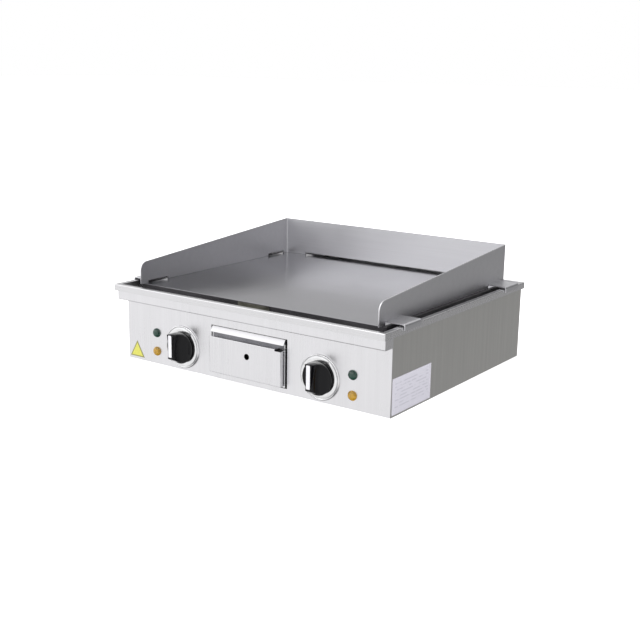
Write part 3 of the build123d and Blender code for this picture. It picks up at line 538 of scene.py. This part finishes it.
def scoop(side):
    """The hollow beside the grip, which leaves the skirt whole."""
    section = [(GRIP_HALF, CLEAR), (GRIP_HALF, KNOB_FRONT)]
    tall = KNOB_FRONT - KNOB_SKIRT
    for i in range(1, ARC_STEPS + 1):
        a = math.radians(90 * i / ARC_STEPS)
        out = SCOOP_W * (1 - math.cos(a)) ** 1.1
        ridge = RIDGE * math.exp(-((out - RIDGE_AT) / RIDGE_SPREAD) ** 2)
        section.append((GRIP_HALF + out, KNOB_FRONT - tall * math.sin(a) + ridge))
    section += [(CLEAR, KNOB_SKIRT), (CLEAR, CLEAR)]
    points = []
    for i in range(SCOOP_STEPS + 1):
        up = -SCOOP_REACH + 2 * SCOOP_REACH * i / SCOOP_STEPS
        widen = GRIP_WAIST * (up / KNOB_R) ** 2
        points += [(side * (x + widen), up, out) for x, out in section]
    n = len(section)
    faces = [list(range(n)), [SCOOP_STEPS * n + k for k in reversed(range(n))]]
    for i in range(SCOOP_STEPS):
        for k in range(n):
            m = (k + 1) % n
            faces.append([i * n + k, (i + 1) * n + k, (i + 1) * n + m, i * n + m])
    if side < 0:
        faces = [f[::-1] for f in faces]
    return points, [f[::-1] for f in faces]


def heel():
    """What is cut off below the grip's lower end."""
    slope = [(-26.0, KNOB_SKIRT), (-15.0, 32.5), (-12.5, CLEAR)]
    outline = slope + [(-50.0, CLEAR), (-50.0, KNOB_SKIRT)]
    points = [(x, up, out) for x in (-CLEAR, CLEAR) for up, out in outline]
    n = len(outline)
    faces = [list(range(n)), [n + k for k in reversed(range(n))]]
    faces += [[k, n + k, n + (k + 1) % n, (k + 1) % n] for k in range(n)]
    return points, [f[::-1] for f in faces]


def knob(side):
    """A drum that flares from its foot, cut away on both sides of the grip and below it."""
    place = facing_panel(f"bezel_{side}")
    profile = [(0, KNOB_BACK), (KNOB_BASE_R - 0.6, KNOB_BACK), (KNOB_BASE_R, KNOB_BACK + 0.6)]
    profile += [(KNOB_BASE_R, 5.0), (KNOB_R - 0.3, 9.0), (KNOB_R - 0.2, KNOB_FRONT), (0, KNOB_FRONT)]
    drum = solid(*turned(profile, 128), place)
    tools = [solid(*scoop(1), place), solid(*scoop(-1), place), solid(*heel(), place)]
    for mesh in (drum, *tools):
        outward(mesh)
    body = cut(drum, tools)
    bevel = {"width": 0.7 * MM, "segments": 3, "limit_method": "ANGLE", "angle_limit": math.radians(40)}
    body = changed(body, ("BEVEL", bevel))
    piece(f"knob_body_{side}", body, "knob_black", f"knob_{side}", f"knob_{side}", sharp=50)


def outward(mesh):
    """Turns every face's front to the outside."""
    bm = bmesh.new()
    bm.from_mesh(mesh)
    bmesh.ops.recalc_face_normals(bm, faces=bm.faces)
    bm.to_mesh(mesh)
    bm.free()


POINTER_CORNER = 1.4


def pointer(side):
    """The inlaid strip, with round corners and a soft edge."""
    low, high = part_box(f"pointer_{side}")
    half_x = (high.x - low.x) / 2 / MM
    x0 = (high.x + low.x) / 2 / MM
    z0, z1 = low.z / MM, high.z / MM
    radius = POINTER_CORNER
    outline = []
    for cx, cz, start in ((half_x, z1, 0), (-half_x, z1, 90), (-half_x, z0, 180), (half_x, z0, 270)):
        for i in range(7):
            a = math.radians(start + 15 * i)
            px = cx - math.copysign(radius, cx) + radius * math.cos(a)
            pz = cz - (radius if cz == z1 else -radius) + radius * math.sin(a)
            outline.append((x0 + px, pz))
    n = len(outline)
    front, rear = low.y / MM, high.y / MM
    points = [(x, y, z) for y in (front, rear) for x, z in outline]
    faces = [list(range(n)), [n + k for k in reversed(range(n))]]
    faces += [[k, n + k, n + (k + 1) % n, (k + 1) % n] for k in range(n)]
    mesh = solid(points, faces)
    outward(mesh)
    bevel = {"width": 0.22 * MM, "segments": 2, "limit_method": "ANGLE"}
    mesh = changed(mesh, ("BEVEL", bevel))
    piece(f"pointer_strip_{side}", mesh, "pointer_white", f"knob_{side}", f"pointer_{side}")


def bezel(side):
    """Turned ring: a bright slope, a deep groove and a rolled rim."""
    place = facing_panel(f"bezel_{side}")
    profile = [(25.5, 0.0), (25.5, 3.4), (25.7, 3.9), (26.0, 4.2)]
    profile += [(26.0 + 7.4 * i / 8, 4.2 - 0.7 * (i / 8) ** 2) for i in range(1, 9)]
    profile += [(33.6, 3.1), (33.8, 1.7), (34.2, 1.3), (34.8, 1.5), (35.1, 2.6)]
    roll = (0.25, 0.5, 0.8, 1.1, 1.35, 1.57)
    profile += [(35.1 + 1.9 * math.sin(a), 0.9 + 1.9 * math.cos(a)) for a in roll]
    profile += [(37.0, 0.0), (25.5, 0.0)]
    mesh = solid(*turned(profile, 160), place)
    mesh = changed(mesh, ("WELD", {"merge_threshold": 1e-6}))
    outward(mesh)
    piece(f"bezel_ring_{side}", mesh, "chrome_ring", "chassis", f"bezel_{side}", sharp=38)


LENS_R = 8.0
DOME_START = 2.2            # in front of the control panel


def lamp(side, colour):
    """A round flange under a dome."""
    node = f"lens_{colour}_{side}"
    place = facing_panel(node)
    low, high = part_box(node)
    tall = (high.y - low.y) / MM
    radius = LENS_R - 1.0
    flange = [(0, 0.0), (LENS_R, 0.0), (LENS_R, 0.9), (LENS_R - 0.5, 1.3), (radius, 1.5)]
    rise = tall - DOME_START
    angles = (0, 0.3, 0.6, 0.9, 1.2, 1.4)
    dome = [(radius * math.cos(a), DOME_START + rise * math.sin(a)) for a in angles]
    mesh = solid(*turned(flange + dome + [(0, tall)], 48), place)
    outward(mesh)
    piece(f"lamp_{colour}_{side}", mesh, f"lens_{colour}", "chassis", node, sharp=40)


def soften(node, width, angle=35):
    """Small rounds on a CAD node's sheet edges."""
    obj = nodes[node]
    weld = obj.modifiers.new("weld", "WELD")
    weld.merge_threshold = 1e-5
    flat = obj.modifiers.new("flat", "DECIMATE")
    flat.decimate_type = "DISSOLVE"
    flat.angle_limit = math.radians(0.5)
    bevel = obj.modifiers.new("bevel", "BEVEL")
    bevel.width = width * MM
    bevel.segments = 2
    bevel.limit_method = "ANGLE"
    bevel.angle_limit = math.radians(angle)
    bevel.harden_normals = True


def floor():
    """A bright white floor that polished faces don't mirror."""
    mesh = bpy.data.meshes.new("floor")
    far = 20.0
    corners = [(-far, -far, 0), (far, -far, 0), (far, far, 0), (-far, far, 0)]
    mesh.from_pydata(corners, [], [(0, 1, 2, 3)])
    obj = bpy.data.objects.new("floor", mesh)
    glow = {"Emission_Color": (1, 1, 1, 1), "Emission_Strength": 0.7}
    s = Surface("floor", (0.92, 0.92, 0.92), rough=0.9, **glow)
    mesh.materials.append(s.join(Roughness=s.fit(s.noise((3, 3, 3)), 0.3, 0.7, 0.85, 0.95)))
    scene.collection.objects.link(obj)
    obj.visible_glossy = False


panel_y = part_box("control_panel")[0].y
materials = all_materials()
special = {"drawer_front": "drawer_front_steel", "drain_lip": "lip_steel"}
for row in record["subparts"]:
    slots = nodes[row["node"]].data.materials
    slots.clear()
    slots.append(materials[special.get(row["node"], row["material_slot"])])
soften("control_panel", 0.6)
for side in SIDES:
    knob(side)
    pointer(side)
    bezel(side)
    for colour in ("green", "amber"):
        lamp(side, colour)
camera()
studio()
softbox("key", azimuth=-20, elevation=62, distance=2.2, size=(1.0, 0.7), power=8.0)
floor()
scene.view_settings.view_transform = "Standard"
